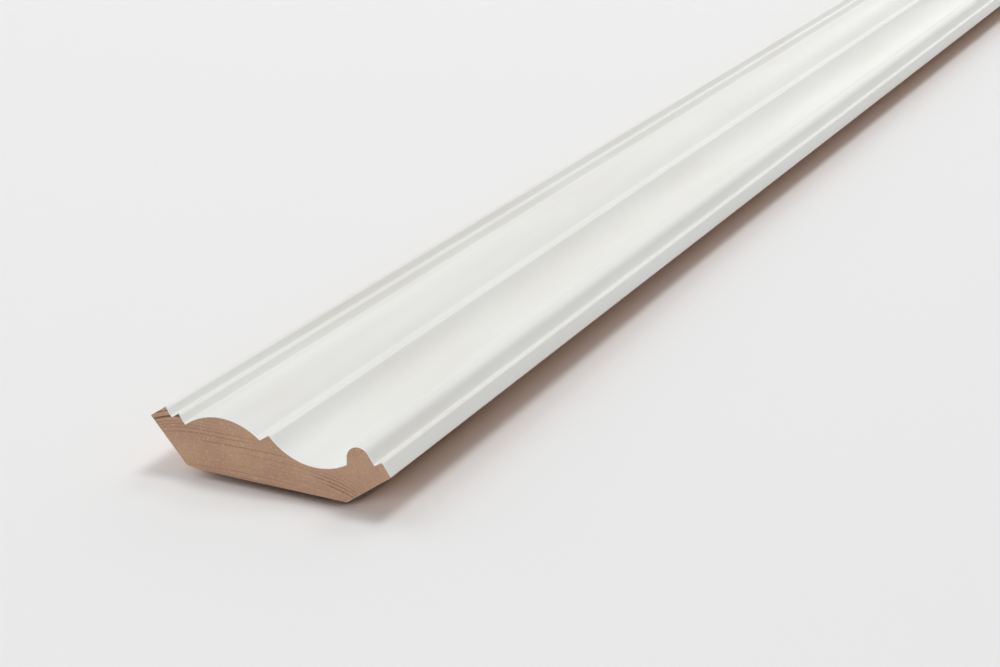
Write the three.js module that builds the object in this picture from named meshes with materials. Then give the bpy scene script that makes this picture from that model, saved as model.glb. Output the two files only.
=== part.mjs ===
import * as THREE from 'three';

// A length of crown moulding, lying on its flat back, in millimetres with +Z up.
// X runs across the face from the ceiling edge to the wall edge, and Y along the length.
// The origin is under the middle of the piece, on the plane of its back.

// The planed board that the moulding is run from
const mouldingLength = 1000;
const faceWidth = 94;           // over the ceiling edge and the wall edge
const stockThickness = 21;      // flat back to the highest lines of the face

// Angles in degrees
const springAngle = 36;         // wall seat, from the back
const ceilingRelief = 5;        // how far the ceiling seat leans back from square to the wall seat
const treadAngle = 34;          // flats of the steps, from the back; their risers are square to them

// Steps along the ceiling edge, each measured along its own face
const ceilingFillet = 7.6;
const ceilingRiser = 4.2;
const ceilingTread = 3.5;

// The roll, and the tread that rises from it to the cove
const rollWidth = 29.8;
const rollRise = 5.25;          // crown over the line that joins its two feet
const middleTread = 4.4;

// The cove
const coveDepth = 5.5;          // deepest point under the line that joins its two edges

// The bead, and the step and lip along the wall edge
const beadRadius = 4.4;
const beadDrop = 0.35;          // crown of the bead under the highest lines of the face
const beadHeight = 7.1;         // crown of the bead over the edge of the cove
const wallStepDepth = 5.8;      // inner corner of the step under the highest lines of the face
const wallTread = 3.4;
const wallLip = 5.85;

// Easing of the corners
const arrisRadius = 0.85;       // outer corners of the face
const quirkRadius = 0.4;        // inner corners of the face
const seatEdgeRadius = 0.3;     // the thin edges that meet ceiling and wall
const heelEaseWidth = 7;        // planed off the back along its ceiling edge, so that it doesn't bind
const heelEaseRise = 0.9;
const heelEaseRadius = 30;      // where that ease runs out into the back
const ceilingHeelRadius = 1.2;  // where the ease meets the ceiling seat
const wallHeelRadius = 0.5;     // where the back meets the wall seat

// Fineness of the round stretches
const facetLength = 1;
const easingFacets = 3;

const radians = THREE.MathUtils.degToRad;

// Directions in the section: up a tread, and down a riser
const upTread = new THREE.Vector2(Math.cos(radians(treadAngle)), Math.sin(radians(treadAngle)));
const downRiser = new THREE.Vector2(upTread.y, -upTread.x);

// Points of an arc, ends included
function arcPoints(centre, radius, startAngle, endAngle, clockwise) {
  const curve = new THREE.EllipseCurve(
    centre.x, centre.y, radius, radius, startAngle, endAngle, clockwise);
  return curve.getPoints(Math.ceil(curve.getLength() / facetLength));
}

// The arc that joins two points and bows off their chord, upwards where the rise is positive
function bowedArc(start, end, rise) {
  const chord = end.clone().sub(start);
  const radius = ((chord.length() / 2) ** 2 + rise ** 2) / (2 * Math.abs(rise));
  const upward = new THREE.Vector2(-chord.y, chord.x).normalize();
  const centre = start.clone().lerp(end, 0.5);
  centre.addScaledVector(upward, rise - Math.sign(rise) * radius);
  const startAngle = start.clone().sub(centre).angle();
  const endAngle = end.clone().sub(centre).angle();
  return arcPoints(centre, radius, startAngle, endAngle, rise > 0);
}

// A corner of the outline with the radius that eases it, and the points between two corners
const corner = (point, radius) => ({ point, radius });
const between = (points) => points.slice(1, -1).map((point) => corner(point, 0));

// The steps that come down from the ceiling edge to the foot of the roll
function ceilingSteps() {
  const topArris = new THREE.Vector2(ceilingFillet * upTread.x, stockThickness);
  const edge = topArris.clone().addScaledVector(upTread, -ceilingFillet);
  const quirk = topArris.clone().addScaledVector(downRiser, ceilingRiser);
  const stepArris = quirk.clone().addScaledVector(upTread, ceilingTread);
  const lastRiser = (stepArris.y - (stockThickness - rollRise)) / -downRiser.y;
  const rollFoot = stepArris.clone().addScaledVector(downRiser, lastRiser);
  return { edge, topArris, quirk, stepArris, rollFoot };
}

// The lip and the step along the wall edge, and the bead that the riser of the step runs up to
function wallSteps() {
  const quirkHeight = stockThickness - wallStepDepth;
  const lipHeight = quirkHeight + wallTread * upTread.y;
  const edge = new THREE.Vector2(faceWidth, lipHeight + wallLip * downRiser.y);
  const lipArris = edge.clone().addScaledVector(downRiser, -wallLip);
  const quirk = lipArris.clone().addScaledVector(upTread, -wallTread);

  // The bead reaches its crown at the drop, and touches the riser's line at its side
  const beadCentre = new THREE.Vector2(0, stockThickness - beadDrop - beadRadius);
  const overQuirk = beadCentre.y - quirk.y;
  beadCentre.x = quirk.x - (beadRadius + overQuirk * upTread.y) / upTread.x;
  return { edge, lipArris, quirk, beadCentre };
}

// The whole outline, from the back round by the ceiling edge, over the face to the wall edge
function outlineCorners() {
  const ceiling = ceilingSteps();
  const wall = wallSteps();

  const ceilingSeatSlope = Math.tan(radians(90 - springAngle - ceilingRelief));
  const ceilingHeel = new THREE.Vector2((ceiling.edge.y - heelEaseRise) / ceilingSeatSlope, heelEaseRise);
  const easeEnd = new THREE.Vector2(ceilingHeel.x + heelEaseWidth, 0);
  const wallHeel = new THREE.Vector2(faceWidth - wall.edge.y / Math.tan(radians(springAngle)), 0);

  const rollEnd = new THREE.Vector2(ceiling.rollFoot.x + rollWidth, ceiling.rollFoot.y);
  const middleArris = rollEnd.clone().addScaledVector(upTread, middleTread);
  const beadCrown = wall.beadCentre.y + beadRadius;
  const coveEdge = new THREE.Vector2(wall.beadCentre.x - beadRadius, beadCrown - beadHeight);

  const roll = bowedArc(ceiling.rollFoot, rollEnd, rollRise);
  const cove = bowedArc(middleArris, coveEdge, -coveDepth);
  const bead = arcPoints(wall.beadCentre, beadRadius, Math.PI, radians(treadAngle), true);

  return [
    corner(easeEnd, heelEaseRadius),
    corner(ceilingHeel, ceilingHeelRadius),
    corner(ceiling.edge, seatEdgeRadius),
    corner(ceiling.topArris, arrisRadius),
    corner(ceiling.quirk, quirkRadius),
    corner(ceiling.stepArris, arrisRadius),
    corner(ceiling.rollFoot, quirkRadius),
    ...between(roll),
    corner(rollEnd, quirkRadius),
    corner(middleArris, arrisRadius),
    ...between(cove),
    corner(coveEdge, quirkRadius),
    ...bead.map((point) => corner(point, 0)),
    corner(wall.quirk, quirkRadius),
    corner(wall.lipArris, arrisRadius),
    corner(wall.edge, seatEdgeRadius),
    corner(wallHeel, wallHeelRadius),
  ];
}

// Rounds one corner, by no more than the two sides that meet there have room for
function easedCorner(before, at, after, radius) {
  const back = before.clone().sub(at);
  const on = after.clone().sub(at);
  const room = Math.min(back.length(), on.length()) / 2;
  const halfAngle = Math.abs(back.angleTo(on)) / 2;
  const setback = Math.min(radius / Math.tan(halfAngle), room);
  const start = at.clone().addScaledVector(back.normalize(), setback);
  const end = at.clone().addScaledVector(on.normalize(), setback);
  return new THREE.QuadraticBezierCurve(start, at, end).getPoints(easingFacets);
}

function sectionShape() {
  const corners = outlineCorners();
  const points = corners.flatMap(({ point, radius }, index) => {
    if (radius === 0) return [point];
    const before = corners.at(index - 1).point;
    const after = corners[(index + 1) % corners.length].point;
    return easedCorner(before, point, after, radius);
  });
  return new THREE.Shape(points);
}

function crownMoulding() {
  const geometry = new THREE.ExtrudeGeometry(sectionShape(), {
    depth: mouldingLength,
    bevelEnabled: false,
  });
  const primedSoftwood = new THREE.MeshStandardMaterial({ color: 0xe8e7e2, roughness: 0.5, metalness: 0 });
  const mesh = new THREE.Mesh(geometry, primedSoftwood);
  mesh.name = 'crown_moulding';

  // The section is drawn upright and run back from the near end
  mesh.rotation.x = Math.PI / 2;
  mesh.position.set(-faceWidth / 2, mouldingLength / 2, 0);
  return mesh;
}

const moulding = new THREE.Group();
moulding.add(crownMoulding());

export default moulding;
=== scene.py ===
from math import cos, sin, tan, radians, pi, asin, hypot, copysign

import bmesh
import bpy
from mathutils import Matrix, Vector


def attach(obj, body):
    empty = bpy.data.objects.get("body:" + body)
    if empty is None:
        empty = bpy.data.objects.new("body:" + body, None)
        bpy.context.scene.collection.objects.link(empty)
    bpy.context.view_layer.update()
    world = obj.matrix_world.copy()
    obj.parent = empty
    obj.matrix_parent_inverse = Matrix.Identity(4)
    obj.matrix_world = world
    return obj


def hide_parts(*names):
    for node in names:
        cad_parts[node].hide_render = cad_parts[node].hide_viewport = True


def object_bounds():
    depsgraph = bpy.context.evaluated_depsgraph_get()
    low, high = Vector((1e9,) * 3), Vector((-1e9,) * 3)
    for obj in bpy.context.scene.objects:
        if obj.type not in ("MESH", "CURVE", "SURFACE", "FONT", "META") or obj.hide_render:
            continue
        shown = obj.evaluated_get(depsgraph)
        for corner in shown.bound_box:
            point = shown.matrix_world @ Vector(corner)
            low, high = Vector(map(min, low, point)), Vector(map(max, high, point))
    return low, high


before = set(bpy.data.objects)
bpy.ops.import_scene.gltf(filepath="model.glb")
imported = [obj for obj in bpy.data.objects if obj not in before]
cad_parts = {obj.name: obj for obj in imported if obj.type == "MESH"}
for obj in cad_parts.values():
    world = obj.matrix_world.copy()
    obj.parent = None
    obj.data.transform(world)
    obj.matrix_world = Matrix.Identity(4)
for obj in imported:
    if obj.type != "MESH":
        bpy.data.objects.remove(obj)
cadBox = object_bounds()
print("frame loaded:", sorted(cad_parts))

mm = 0.001
scene = bpy.context.scene


def hexToLinear(code):
    # sRGB hex to the linear values that the nodes take
    channels = [int(code[i:i + 2], 16) / 255 for i in (1, 3, 5)]
    linear = [c / 12.92 if c <= 0.04045 else ((c + 0.055) / 1.055) ** 2.4 for c in channels]
    return (*linear, 1.0)


def addNode(tree, kind, inputs=(), **settings):
    # one node with its settings; inputs come in order or by name,
    # and a node or a socket among them is linked
    node = tree.nodes.new("ShaderNode" + kind)
    for name, value in settings.items():
        setattr(node, name, value)
    for name, value in inputs.items() if isinstance(inputs, dict) else enumerate(inputs):
        if isinstance(value, bpy.types.Node):
            value = value.outputs[0]
        if isinstance(value, bpy.types.NodeSocket):
            tree.links.new(value, node.inputs[name])
        else:
            node.inputs[name].default_value = value
    return node


def newMaterial(name):
    material = bpy.data.materials.new(name)
    material.use_nodes = True
    material.node_tree.nodes.clear()
    return material


def millimetrePlace(tree):
    # Object coordinates, in millimetres
    place = addNode(tree, "TexCoord")
    return addNode(tree, "VectorMath", {0: place.outputs["Object"], "Scale": 1 / mm}, operation="SCALE")


# Camera: a short telephoto, looking down the length from the wall side

cameraView = {
    "target": (0.0059, -0.3367, 0.0),   # where the middle of the view meets the floor
    "azimuth": 26.25,                   # degrees to the left of the length
    "elevation": 20.77,
    "distance": 0.8179,
    "lens": 73.19,                      # mm, on a sensor 36 mm wide
    "sensor": 36,
}


def makeCamera():
    azimuth, elevation = radians(cameraView["azimuth"]), radians(cameraView["elevation"])
    look = Vector((-sin(azimuth) * cos(elevation), cos(azimuth) * cos(elevation), -sin(elevation)))
    data = bpy.data.cameras.new("camera")
    data.lens = cameraView["lens"]
    data.sensor_width = cameraView["sensor"]
    data.clip_start = 0.01
    camera = bpy.data.objects.new("camera", data)
    scene.collection.objects.link(camera)
    camera.location = Vector(cameraView["target"]) - look * cameraView["distance"]
    camera.rotation_euler = look.to_track_quat("-Z", "Y").to_euler()
    scene.camera = camera


# Light: a pale room, an overhead box for the shadows, and soft boxes to the left, behind and in front

studioLight = {
    "room": ("#FFFFFF", 0.25),
    "boxes": [
        # name, place, width, depth, watts; all are aimed at the piece
        ("boxOverhead", (0.30, 0.45, 3.00), 0.9, 1.0, 27.5),
        ("boxHighLeft", (-1.90, 0.20, 2.40), 1.6, 1.6, 16.5),
        ("boxHighBack", (0.0, 1.90, 2.60), 1.6, 1.2, 14.5),
        ("boxLeft", (-3.0, 0.0, 1.20), 2.4, 1.6, 9.0),
        ("boxBackLeft", (-1.80, 2.90, 0.80), 3.0, 1.4, 10.5),
        ("boxBack", (0.30, 3.20, 1.20), 2.4, 1.6, 12.5),
        ("boxFront", (0.30, -3.20, 1.20), 2.4, 1.6, 43.0),
    ],
    "aim": (0.0, -0.20, 0.0),
}


def makeLights():
    world = bpy.data.worlds.new("studio")
    scene.world = world
    world.use_nodes = True
    background = world.node_tree.nodes["Background"]
    background.inputs["Color"].default_value = hexToLinear(studioLight["room"][0])
    background.inputs["Strength"].default_value = studioLight["room"][1]
    for name, place, width, depth, watts in studioLight["boxes"]:
        data = bpy.data.lights.new(name, "AREA")
        data.shape = "RECTANGLE"
        data.size = width
        data.size_y = depth
        data.energy = watts
        light = bpy.data.objects.new(name, data)
        scene.collection.objects.link(light)
        light.location = place
        towards = Vector(studioLight["aim"]) - Vector(place)
        light.rotation_euler = towards.to_track_quat("-Z", "Y").to_euler()
    scene.view_settings.view_transform = "Standard"


# Floor: seamless white paper, laid loose, so that it sags a little under the near end of the piece

floorPaper = {
    "size": 8.0,              # metres
    "cells": 320,
    "closeUp": 2.6,           # how much the cells crowd together towards the near end
    "tone": "#F0F0F0",
    "roughness": 0.85,
    "gloss": 0.2,
    "fibre": 0.6,             # mm
    "relief": (0.1, 0.02),    # strength, and depth in mm
    "sag": 2.4,               # mm, all across
    "sagAlong": (-150, -460),           # mm along the piece, from level to full
    "hollow": 4.5,            # mm more, right under the back
    "hollowAlong": (-502, -484, -430, -380),    # mm, where it starts, is full, is still full and ends
    "hollowAcross": (-31, -23, 25, 31),
}


def paperMaterial():
    # matt coated background paper: even, with hardly any sheen
    material = newMaterial("whitePaper")
    tree = material.node_tree
    fibre = addNode(tree, "TexNoise", {
        "Vector": millimetrePlace(tree), "Scale": 1 / floorPaper["fibre"], "Detail": 2.0})
    strength, depth = floorPaper["relief"]
    bump = addNode(tree, "Bump", {"Height": fibre, "Strength": strength, "Distance": depth * mm})
    shader = addNode(tree, "BsdfPrincipled", {
        "Base Color": hexToLinear(floorPaper["tone"]), "Roughness": floorPaper["roughness"],
        "Specular IOR Level": floorPaper["gloss"], "Normal": bump})
    addNode(tree, "OutputMaterial", [shader])
    return material


def easeIn(value, low, high):
    # 0 before low and 1 past high, with a soft start and end
    share = min(max((value - low) / (high - low), 0), 1)
    return share * share * (3 - 2 * share)


def easeInOut(value, start, full, stillFull, end):
    return easeIn(value, start, full) * (1 - easeIn(value, stillFull, end))


def makeFloor():
    f = floorPaper
    bm = bmesh.new()
    bmesh.ops.create_grid(bm, x_segments=f["cells"], y_segments=f["cells"], size=1)
    for vert in bm.verts:
        for axis in (0, 1):
            share = vert.co[axis]
            vert.co[axis] = copysign(abs(share) ** f["closeUp"], share) * f["size"] / 2
        vert.co.y -= mouldingSection["length"] / 2 * mm
        across, along = vert.co.x / mm, vert.co.y / mm
        sag = f["sag"] * easeIn(-along, -f["sagAlong"][0], -f["sagAlong"][1])
        hollow = f["hollow"] * easeInOut(along, *f["hollowAlong"]) * easeInOut(across, *f["hollowAcross"])
        vert.co.z = -(sag + hollow) * mm
    for face in bm.faces:
        face.smooth = True
    mesh = bpy.data.meshes.new("floor")
    bm.to_mesh(mesh)
    bm.free()
    floor = bpy.data.objects.new("floor", mesh)
    scene.collection.objects.link(floor)
    mesh.materials.append(paperMaterial())


# Finishes of the moulding

pineWood = {
    "earlyWood": "#AF8F78",
    "lateWood": "#5E3F2C",
    "strawTone": "#B69474",
    "pinkTone": "#A5816D",
    "paleFleck": "#CDAB90",
    "earlyShare": 0.55,         # of plain early wood in the straw and pink patches
    "planedTone": "#CD9058",    # planed along the grain it shows warmer
    "planedShare": 0.65,
    "ringMiddle": -8.0,         # mm, where the rings lie level across the section
    "bendLeft": 27.7,           # mm aside of there they have bent down by 1 mm
    "bendRight": 29.7,
    "bendPower": 4.2,
    "leanUp": 0.0045,           # how the rings rise and shift along the length
    "leanAcross": 0.006,
    "wander": 1.6,              # mm that they stray along the length
    "wanderLength": (30.0, 380.0),      # mm across and along, as in the next three pairs
    "plainPatch": (16.0, 240.0),        # where the plain rings are fainter or clearer
    "tonePatch": (9.0, 160.0),          # where the wood is straw or pink
    "fleckSize": (0.8, 9.0),
    "plainSpan": (0.40, 0.66, 0.03, 0.17),      # pattern from and to, and what it gives there
    "toneSpan": (0.36, 0.64),
    "speckSpan": (0.30, 0.70, 0.88, 1.12),
    "fleckSpan": (0.70, 0.82, 0.0, 0.5),
    "ringWidth": 1.25,          # mm
    "unevenScale": 0.31,        # wet and dry times, a few years long
    "unevenYears": 1.4,         # years by which they shift a ring
    "seasonTones": [            # share of the year, and how dark the wood is then
        (0.30, 0.0), (0.60, 0.15), (0.80, 1.0), (0.90, 0.85), (1.0, 0.0)],
    "clearYears": [             # height at the middle, thickness, strength, and where across it shows
        (21.40, 0.60, 0.75, -43.0, 6.0),
        (19.45, 0.95, 0.90, -39.5, 8.0),
        (17.70, 0.55, 0.30, -42.0, 8.0),
        (16.70, 0.75, 0.27, -33.0, 14.0),
        (15.60, 0.65, 0.30, -27.0, 18.0),
        (14.00, 0.60, 0.32, -24.0, 18.0),
        (11.85, 0.65, 0.34, -10.0, 19.0),
        (11.50, 0.50, 0.20, 34.0, 8.0),
        (10.15, 0.50, 0.22, 30.0, 10.0),
        (9.60, 0.65, 0.18, 4.0, 17.0),
        (9.00, 0.55, 0.36, 27.0, 11.0),
        (7.80, 0.60, 0.46, 27.0, 11.0),
        (6.45, 0.60, 0.58, 30.0, 9.0),
        (4.70, 0.50, 0.14, 2.0, 34.0),
        (2.60, 0.60, 0.22, -12.0, 26.0),
        (0.50, 0.70, 0.30, -4.0, 40.0),
        (-1.60, 0.70, 0.30, 0.0, 40.0),
    ],
    "yearDark": 0.35,           # share of the thickness that is full dark
    "yearEdge": 0.12,           # mm over which the dark line ends
    "yearFade": (0.6, 1.25),    # shares of the reach at which it starts to fade and is gone
    "fibre": 0.38,              # mm
    "fibreLength": 14.0,
    "sawPitch": 1.5,            # mm between the marks of the saw
    "sawHeart": (70.0, 150.0),  # mm, the arbor of the saw
    "knifePitch": 2.2,          # mm between the marks of the planer's knives
    "sawn": {"roughness": 0.78, "gloss": 0.25, "marks": 0.10, "rings": 0.35, "relief": (0.55, 0.09)},
    "planed": {"roughness": 0.62, "gloss": 0.35, "marks": 0.06, "rings": 0.25, "relief": (0.4, 0.06)},
}

whitePrimer = {
    "coat": "#EEEEEB",
    "thinCoat": "#EAE9E4",
    "ior": 1.5,
    "peel": 1.1,                # mm, orange peel of a sprayed coat
    "satinSpan": (0.3, 0.7, 0.37, 0.48),        # peel from and to, and the roughness there
    "grain": 0.45,              # mm, raised fibres under the coat
    "grainLength": 45.0,
    "grainShare": 0.8,
    "relief": (0.35, 0.03),     # strength, and depth in mm
    "coverPatch": (14.0, 110.0),        # mm across and along, where the coat is thin
    "coverSpan": (0.35, 0.68),
    "overspray": 1.3,           # mm of mist past the edges, on the bare seats
    "mistEdge": 1.0,            # mm outside the face, where the mist is densest
    "mistCover": 0.9,
    "mistPatch": (1.2, 3.0),
    "mistRagged": 2.0,          # mm
}


def woodGrain(tree, place, across, along, detail=2.0):
    # a pattern whose grain is one size across the section and another along the length, in mm
    stretch = (1 / across, 1 / along, 1 / across)
    scaled = addNode(tree, "VectorMath", (place, stretch), operation="MULTIPLY")
    return addNode(tree, "TexNoise", {"Vector": scaled, "Scale": 1.0, "Detail": detail})


def ringHeight(tree, place):
    # height at which a year crosses the middle of the section; the rings bend down to both sides
    w = pineWood
    stray = woodGrain(tree, place, *w["wanderLength"], detail=1.0).outputs["Color"]
    centred = addNode(tree, "VectorMath", (stray, (0.5, 0.5, 0.5)), operation="SUBTRACT")
    wander = (w["wander"],) * 3
    strayed = addNode(tree, "VectorMath", (centred, wander, place), operation="MULTIPLY_ADD")
    parts = addNode(tree, "SeparateXYZ", [strayed]).outputs
    fromEnd = addNode(tree, "Math", (parts["Y"], mouldingSection["length"] / 2), operation="ADD")
    shifted = addNode(tree, "Math", (fromEnd, w["leanAcross"], parts["X"]), operation="MULTIPLY_ADD")
    middle = addNode(tree, "Math", (shifted, w["ringMiddle"]), operation="SUBTRACT")
    toRight = addNode(tree, "Math", (middle, w["bendRight"]), operation="DIVIDE")
    toLeft = addNode(tree, "Math", (middle, -w["bendLeft"]), operation="DIVIDE")
    aside = addNode(tree, "Math", (toRight, toLeft), operation="MAXIMUM")
    bend = addNode(tree, "Math", (aside, w["bendPower"]), operation="POWER")
    level = addNode(tree, "Math", (fromEnd, w["leanUp"], parts["Z"]), operation="MULTIPLY_ADD")
    return addNode(tree, "Math", (level, bend), operation="ADD")


def ringLines(tree, place):
    # 0 in the pale early wood, darkening to the edge of each year, then dropping at once
    w = pineWood
    height = ringHeight(tree, place)
    years = addNode(tree, "Math", (height, 1 / w["ringWidth"]), operation="MULTIPLY")
    uneven = addNode(tree, "TexNoise", {
        "W": years, "Scale": w["unevenScale"], "Detail": 1.0}, noise_dimensions="1D")
    growth = addNode(tree, "Math", (uneven, w["unevenYears"], years), operation="MULTIPLY_ADD")
    season = addNode(tree, "Math", [growth], operation="FRACT")
    late = addNode(tree, "ValToRGB", [season])
    late.color_ramp.interpolation = "EASE"
    stops = late.color_ramp.elements
    first, *between, last = w["seasonTones"]
    for stop, (share, tone) in zip(stops, (first, last)):
        stop.position, stop.color = share, (tone, tone, tone, 1)
    for share, tone in between:
        stops.new(share).color = (tone, tone, tone, 1)
    patches = woodGrain(tree, place, *w["plainPatch"], detail=1.0)
    plain = addNode(tree, "MapRange", (patches, *w["plainSpan"]))
    lines = addNode(tree, "Math", (late, plain), operation="MULTIPLY")

    # the years that stand out, each over its own part of the width
    across = addNode(tree, "SeparateXYZ", [place])
    fadeFrom, fadeTo = w["yearFade"]
    for level, thickness, clear, middle, reach in w["clearYears"]:
        start, full = level - thickness, level - w["yearDark"] * thickness
        darkening = addNode(tree, "MapRange", (height, start, full, 0.0, clear))
        ending = addNode(tree, "MapRange", (height, level, level + w["yearEdge"], 1.0, 0.0))
        line = addNode(tree, "Math", (darkening, ending), operation="MULTIPLY")
        aside = addNode(tree, "Math", (across, middle), operation="SUBTRACT")
        distance = addNode(tree, "Math", [aside], operation="ABSOLUTE")
        shown = addNode(tree, "MapRange", (distance, fadeFrom * reach, fadeTo * reach, 1.0, 0.0))
        year = addNode(tree, "Math", (line, shown), operation="MULTIPLY")
        lines = addNode(tree, "Math", (lines, year), operation="MAXIMUM")
    return lines


def pineTone(tree, place):
    # its tone, with the rings and the fibres that give the relief; inputs 6 and 7 of a Mix are its colours
    w = pineWood
    straw, pink, early, late, fleck = (hexToLinear(w[name]) for name in (
        "strawTone", "pinkTone", "earlyWood", "lateWood", "paleFleck"))
    lines = ringLines(tree, place)
    hue = addNode(tree, "MapRange", (woodGrain(tree, place, *w["tonePatch"]), *w["toneSpan"]))
    tone = addNode(tree, "Mix", {0: hue, 6: straw, 7: pink}, data_type="RGBA").outputs[2]
    tone = addNode(tree, "Mix", {0: w["earlyShare"], 6: tone, 7: early}, data_type="RGBA").outputs[2]
    tone = addNode(tree, "Mix", {0: lines, 6: tone, 7: late}, data_type="RGBA").outputs[2]
    fibres = woodGrain(tree, place, w["fibre"], w["fibreLength"])
    speck = addNode(tree, "MapRange", (fibres, *w["speckSpan"]))
    tone = addNode(tree, "Mix", {
        0: 1.0, 6: tone, 7: speck}, data_type="RGBA", blend_type="MULTIPLY").outputs[2]
    flecks = woodGrain(tree, place, *w["fleckSize"], detail=0.0)
    shown = addNode(tree, "MapRange", (flecks, *w["fleckSpan"]))
    tone = addNode(tree, "Mix", {0: shown, 6: tone, 7: fleck}, data_type="RGBA").outputs[2]
    return tone, lines, fibres


def cutWood(tree, finish, tone, lines, fibres, marks):
    # bare wood as the tool left it: the rings, the fibres and the marks stand out a little
    marked = addNode(tree, "Math", (marks, finish["marks"], fibres), operation="MULTIPLY_ADD")
    height = addNode(tree, "Math", (lines, finish["rings"], marked), operation="MULTIPLY_ADD")
    strength, depth = finish["relief"]
    bump = addNode(tree, "Bump", {"Height": height, "Strength": strength, "Distance": depth * mm})
    shader = addNode(tree, "BsdfPrincipled", {
        "Base Color": tone, "Roughness": finish["roughness"],
        "Specular IOR Level": finish["gloss"], "Normal": bump})
    addNode(tree, "OutputMaterial", [shader])


def sawnPine():
    # softwood cut across the grain: dull open pores, soft pale early wood and dark hard rings
    w = pineWood
    material = newMaterial("sawnPine")
    tree = material.node_tree
    place = millimetrePlace(tree)
    tone, lines, fibres = pineTone(tree, place)
    across, up = w["sawHeart"]
    arbor = addNode(tree, "VectorMath", (place, (-across, 0, -up)), operation="ADD")
    flat = addNode(tree, "VectorMath", (arbor, (1, 0, 1)), operation="MULTIPLY")
    sweep = addNode(tree, "VectorMath", [flat], operation="LENGTH").outputs["Value"]
    teeth = addNode(tree, "Math", (sweep, 2 * pi / w["sawPitch"]), operation="MULTIPLY")
    marks = addNode(tree, "Math", [teeth], operation="SINE")
    cutWood(tree, w["sawn"], tone, lines, fibres, marks)
    return material


def planedPine():
    # softwood planed along the grain, unsealed: long fibres, faint knife marks,
    # and a mist of primer at the edges
    w, p = pineWood, whitePrimer
    material = newMaterial("planedPine")
    tree = material.node_tree
    place = millimetrePlace(tree)
    tone, lines, fibres = pineTone(tree, place)
    warm, mist = hexToLinear(w["planedTone"]), hexToLinear(p["thinCoat"])
    tone = addNode(tree, "Mix", {0: w["planedShare"], 6: tone, 7: warm}, data_type="RGBA").outputs[2]

    # the mist of primer fades inwards from the painted edges
    parts = addNode(tree, "SeparateXYZ", [place]).outputs
    aside = addNode(tree, "Math", [parts["X"]], operation="ABSOLUTE")
    ragged = woodGrain(tree, place, *p["mistPatch"])
    edge = addNode(tree, "Math", (ragged, p["mistRagged"], aside), operation="MULTIPLY_ADD")
    densest = mouldingSection["faceWidth"] / 2 + p["mistEdge"]
    cover = addNode(tree, "MapRange", (edge, densest - p["overspray"], densest, 0.0, p["mistCover"]))
    tone = addNode(tree, "Mix", {0: cover, 6: tone, 7: mist}, data_type="RGBA").outputs[2]

    turns = addNode(tree, "Math", (parts["Y"], 2 * pi / w["knifePitch"]), operation="MULTIPLY")
    knives = addNode(tree, "Math", [turns], operation="SINE")
    cutWood(tree, w["planed"], tone, lines, fibres, knives)
    return material


def sprayedPrimer():
    # white acrylic primer, sprayed and rubbed down: satin, with the raised grain of the wood
    # just to be felt
    p = whitePrimer
    material = newMaterial("sprayedPrimer")
    tree = material.node_tree
    place = millimetrePlace(tree)
    grain = woodGrain(tree, place, p["grain"], p["grainLength"])
    peel = woodGrain(tree, place, p["peel"], p["peel"])
    thin = addNode(tree, "MapRange", (woodGrain(tree, place, *p["coverPatch"]), *p["coverSpan"]))
    coats = {0: thin, 6: hexToLinear(p["coat"]), 7: hexToLinear(p["thinCoat"])}
    tone = addNode(tree, "Mix", coats, data_type="RGBA").outputs[2]
    satin = addNode(tree, "MapRange", (peel, *p["satinSpan"]))
    height = addNode(tree, "Math", (grain, p["grainShare"], peel), operation="MULTIPLY_ADD")
    strength, depth = p["relief"]
    bump = addNode(tree, "Bump", {"Height": height, "Strength": strength, "Distance": depth * mm})
    shader = addNode(tree, "BsdfPrincipled", {
        "Base Color": tone, "Roughness": satin, "IOR": p["ior"], "Normal": bump})
    addNode(tree, "OutputMaterial", [shader])
    return material


# Moulding: its section in millimetres and degrees, the way a cutter grinder would draw it

mouldingSection = {
    "length": 1000,
    "faceWidth": 94,
    "stockThickness": 21,
    "springAngle": 36,          # wall seat, from the back
    "ceilingRelief": 5,
    "treadAngle": 34,
    "ceilingFillet": 7.6,
    "ceilingRiser": 4.2,
    "ceilingTread": 3.5,
    "rollWidth": 29.8,
    "rollRise": 5.25,
    "middleTread": 4.4,
    "coveDepth": 5.5,
    "beadRadius": 4.4,
    "beadDrop": 0.35,
    "beadHeight": 7.1,
    "wallStepDepth": 5.8,
    "wallTread": 3.4,
    "wallLip": 5.85,
    "heelEaseWidth": 7,         # planed off the back along its ceiling edge
    "heelEaseRise": 0.9,
    "arrisRadius": 0.85,        # easing of the corners
    "quirkRadius": 0.4,
    "seatEdgeRadius": 0.3,
    "heelEaseRadius": 30,
    "ceilingHeelRadius": 1.2,
    "wallHeelRadius": 0.5,
    "arcStep": 2.2,             # facet of the roll and the cove
    "beadStep": 0.6,
    "sharpFrom": 24,            # degrees between two faces that show a crisp edge
}

primerCoat = {
    "thickness": 0.22,          # mm, a filling coat
    "arrises": {                # mm, it softens the outer corners
        "topArris": 1.5, "stepArris": 1.5, "middleArris": 1.4, "lipArris": 1.1},
    "quirks": {                 # mm, it fills the inner ones, and most of all those by the cove
        "ceilingQuirk": 0.7, "rollFoot": 0.9, "rollEnd": 2.8, "coveEdge": 2.8, "wallQuirk": 0.7},
    "edge": 0.12,
    "outerSide": (0.5, 2.5),    # thicknesses from a corner within which its outer edge lies
    "segments": 6,
}


def inSection(across, height):
    # a point of the section, at the near end, in metres
    s = mouldingSection
    return Vector(((across - s["faceWidth"] / 2) * mm, -s["length"] / 2 * mm, height * mm))


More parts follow.
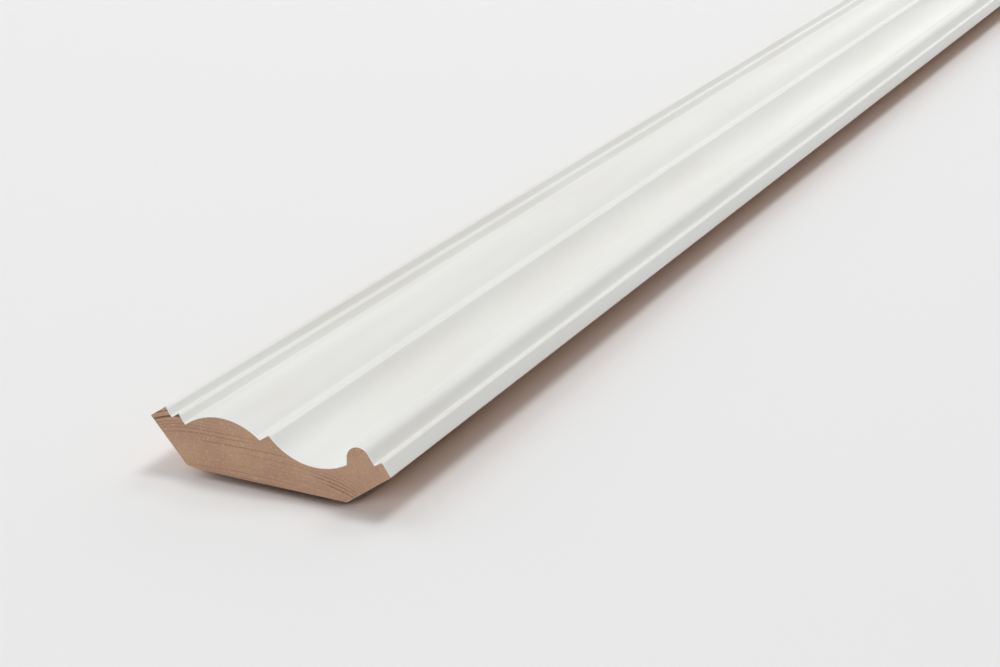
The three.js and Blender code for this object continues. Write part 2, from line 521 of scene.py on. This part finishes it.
def sectionCorners():
    # every corner of the section before it is eased, by its name
    s = mouldingSection
    treadAngle = radians(s["treadAngle"])
    upTread = Vector((cos(treadAngle), 0, sin(treadAngle))) * mm
    downRiser = Vector((upTread.z, 0, -upTread.x))
    crown = s["stockThickness"]

    # ceiling edge, roll and middle step
    topArris = inSection(s["ceilingFillet"] * cos(treadAngle), crown)
    ceilingEdge = topArris - upTread * s["ceilingFillet"]
    ceilingQuirk = topArris + downRiser * s["ceilingRiser"]
    stepArris = ceilingQuirk + upTread * s["ceilingTread"]
    footHeight = (crown - s["rollRise"]) * mm
    rollFoot = stepArris + downRiser * ((footHeight - stepArris.z) / downRiser.z)
    rollEnd = rollFoot + Vector((s["rollWidth"] * mm, 0, 0))
    middleArris = rollEnd + upTread * s["middleTread"]

    # wall edge
    lipHeight = crown - s["wallStepDepth"] + s["wallTread"] * sin(treadAngle)
    wallEdge = inSection(s["faceWidth"], lipHeight - s["wallLip"] * cos(treadAngle))
    lipArris = wallEdge - downRiser * s["wallLip"]
    wallQuirk = lipArris - upTread * s["wallTread"]

    # the bead touches the riser's line at its outer side
    beadMiddle = (crown - s["beadDrop"] - s["beadRadius"]) * mm
    reach = (s["beadRadius"] * mm + (beadMiddle - wallQuirk.z) * sin(treadAngle)) / cos(treadAngle)
    beadCentre = Vector((wallQuirk.x - reach, wallQuirk.y, beadMiddle))
    beadSide = beadCentre - Vector((s["beadRadius"] * mm, 0, 0))
    coveEdge = Vector((beadSide.x, beadSide.y, (crown - s["beadDrop"] - s["beadHeight"]) * mm))

    # seats and back
    seatSlope = tan(radians(90 - s["springAngle"] - s["ceilingRelief"]))
    rise = s["heelEaseRise"] * mm
    ceilingHeel = inSection(0, s["heelEaseRise"]) + Vector(((ceilingEdge.z - rise) / seatSlope, 0, 0))
    easeEnd = ceilingHeel + Vector((s["heelEaseWidth"] * mm, 0, -rise))
    wallSeatRun = wallEdge.z / tan(radians(s["springAngle"]))
    wallHeel = inSection(s["faceWidth"], 0) - Vector((wallSeatRun, 0, 0))

    # the coat ends where the thin edges begin to turn
    coatStart = ceilingEdge + upTread * s["seatEdgeRadius"]
    coatEnd = wallEdge - downRiser * s["seatEdgeRadius"]
    return {name: place for name, place in locals().items() if isinstance(place, Vector)}


class SectionPen:
    # draws the outline point by point

    def __init__(self, bm, start):
        self.bm = bm
        self.tip = bmesh.ops.create_vert(bm, co=start)["vert"][0]
        self.first = self.tip

    def lineTo(self, place):
        self.tip = bmesh.ops.extrude_vert_indiv(self.bm, verts=[self.tip])["verts"][0]
        self.tip.co = place

    def arcTo(self, place, rise):
        # an arc that stands off its chord by the rise, up if positive, down if negative
        chord = place - self.tip.co
        radius = ((chord.length / 2) ** 2 + rise ** 2) / (2 * abs(rise))
        upward = Vector((-chord.z, 0, chord.x)).normalized()
        side = 1 if rise > 0 else -1
        centre = (self.tip.co + place) / 2 + upward * (rise - side * radius)
        angle = side * 2 * asin(chord.length / 2 / radius)
        self.spinAbout(centre, angle, abs(angle) * radius / (mouldingSection["arcStep"] * mm))

    def spinAbout(self, centre, angle, steps):
        spun = bmesh.ops.spin(self.bm, geom=[self.tip], cent=centre, axis=(0, 1, 0), angle=angle,
                              steps=round(steps))
        self.tip = [part for part in spun["geom_last"] if isinstance(part, bmesh.types.BMVert)][0]


def drawFace(pen, at):
    # over the moulded face, from the ceiling side to the lip
    s = mouldingSection
    for name in ("topArris", "ceilingQuirk", "stepArris", "rollFoot"):
        pen.lineTo(at[name])
    pen.arcTo(at["rollEnd"], s["rollRise"] * mm)
    pen.lineTo(at["middleArris"])
    pen.arcTo(at["coveEdge"], -s["coveDepth"] * mm)
    pen.lineTo(at["beadSide"])
    turn = pi - radians(s["treadAngle"])
    pen.spinAbout(at["beadCentre"], turn, turn * s["beadRadius"] / s["beadStep"])
    pen.lineTo(at["wallQuirk"])
    pen.lineTo(at["lipArris"])


def runLength(bm, geom):
    # carries what extrude made to the far end
    verts = [part for part in geom if isinstance(part, bmesh.types.BMVert)]
    bmesh.ops.translate(bm, verts=verts, vec=(0, mouldingSection["length"] * mm, 0))


def easeAlong(bm, corners, radius, nearest=0.0, furthest=0.01, segments=4):
    # rounds the long edges that lie this near to these corners of the section, in mm
    def near(vert):
        distances = [hypot(vert.co.x - c.x, vert.co.z - c.z) / mm for c in corners]
        return any(nearest <= distance <= furthest for distance in distances)
    bm.normal_update()
    longEdges = [edge for edge in bm.edges if near(edge.verts[0]) and near(edge.verts[1])
                 and edge.calc_length() > 0.5 * mouldingSection["length"] * mm]
    for edge in longEdges:
        setback = radius * mm * tan(edge.calc_face_angle() / 2)
        bmesh.ops.bevel(bm, geom=[edge], offset=setback, offset_type="OFFSET", segments=segments,
                        profile=0.5, affect="EDGES", material=-1, clamp_overlap=True)
    print("  eased", len(longEdges), "edges by", radius, "mm")


def sharpen(bm):
    # smooth shading stops at the cut ends and wherever two faces meet at a real corner
    for face in bm.faces:
        face.smooth = abs(face.normal.y) < 0.5
    for edge in bm.edges:
        if len(edge.link_faces) == 2:
            edge.smooth = edge.calc_face_angle(0) < radians(mouldingSection["sharpFrom"])


def finishPiece(bm, name, materials):
    bmesh.ops.recalc_face_normals(bm, faces=bm.faces[:])
    bm.normal_update()
    sharpen(bm)
    mesh = bpy.data.meshes.new(name)
    bm.to_mesh(mesh)
    bm.free()
    for material in materials:
        mesh.materials.append(material)
    piece = bpy.data.objects.new(name, mesh)
    scene.collection.objects.link(piece)
    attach(piece, "root")
    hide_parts("crown_moulding")
    print(name + ":", len(mesh.vertices), "points,", len(mesh.polygons), "faces")


def makeWood():
    # the planed softwood, with its two sawn ends
    s = mouldingSection
    at = sectionCorners()
    bm = bmesh.new()
    pen = SectionPen(bm, at["easeEnd"])
    pen.lineTo(at["ceilingHeel"])
    pen.lineTo(at["ceilingEdge"])
    drawFace(pen, at)
    pen.lineTo(at["wallEdge"])
    pen.lineTo(at["wallHeel"])
    bm.edges.new((pen.tip, pen.first))
    section = bmesh.ops.contextual_create(bm, geom=bm.edges[:])["faces"]
    runLength(bm, bmesh.ops.extrude_face_region(bm, geom=section)["geom"])

    easeAlong(bm, [at[name] for name in primerCoat["arrises"]], s["arrisRadius"])
    easeAlong(bm, [at[name] for name in primerCoat["quirks"]], s["quirkRadius"])
    easeAlong(bm, [at["ceilingEdge"], at["wallEdge"]], s["seatEdgeRadius"])
    for heel, radius in (("easeEnd", "heelEaseRadius"), ("ceilingHeel", "ceilingHeelRadius"),
                         ("wallHeel", "wallHeelRadius")):
        easeAlong(bm, [at[heel]], s[radius])
    bm.normal_update()
    for face in bm.faces:
        face.material_index = 1 if abs(face.normal.y) > 0.5 else 0
    finishPiece(bm, "softwoodLength", [planedPine(), sawnPine()])


def makeCoat():
    # the primer on the moulded face: a skin that softens the arrises and fills the quirks
    s, c = mouldingSection, primerCoat
    at = sectionCorners()
    bm = bmesh.new()
    pen = SectionPen(bm, at["coatStart"])
    drawFace(pen, at)
    pen.lineTo(at["coatEnd"])
    runLength(bm, bmesh.ops.extrude_edge_only(bm, edges=bm.edges[:])["geom"])
    bm.normal_update()
    if sum(face.normal.z for face in bm.faces) > 0:
        bmesh.ops.reverse_faces(bm, faces=bm.faces[:])
    bmesh.ops.solidify(bm, geom=bm.faces[:], thickness=c["thickness"] * mm)
    bmesh.ops.recalc_face_normals(bm, faces=bm.faces[:])

    # the outer side of the skin is softer than the wood, and its inner side follows the wood
    nearest, furthest = (share * c["thickness"] for share in c["outerSide"])
    outer = {"nearest": nearest, "furthest": furthest, "segments": c["segments"]}
    for name, radius in {**c["arrises"], **c["quirks"]}.items():
        easeAlong(bm, [at[name]], radius, **outer)
    easeAlong(bm, [at["coatStart"], at["coatEnd"]], c["edge"], **outer)
    easeAlong(bm, [at[name] for name in c["arrises"]], s["arrisRadius"])
    easeAlong(bm, [at[name] for name in c["quirks"]], s["quirkRadius"])
    finishPiece(bm, "primerCoat", [sprayedPrimer()])


makeCamera()
makeLights()
makeFloor()
makeWood()
makeCoat()
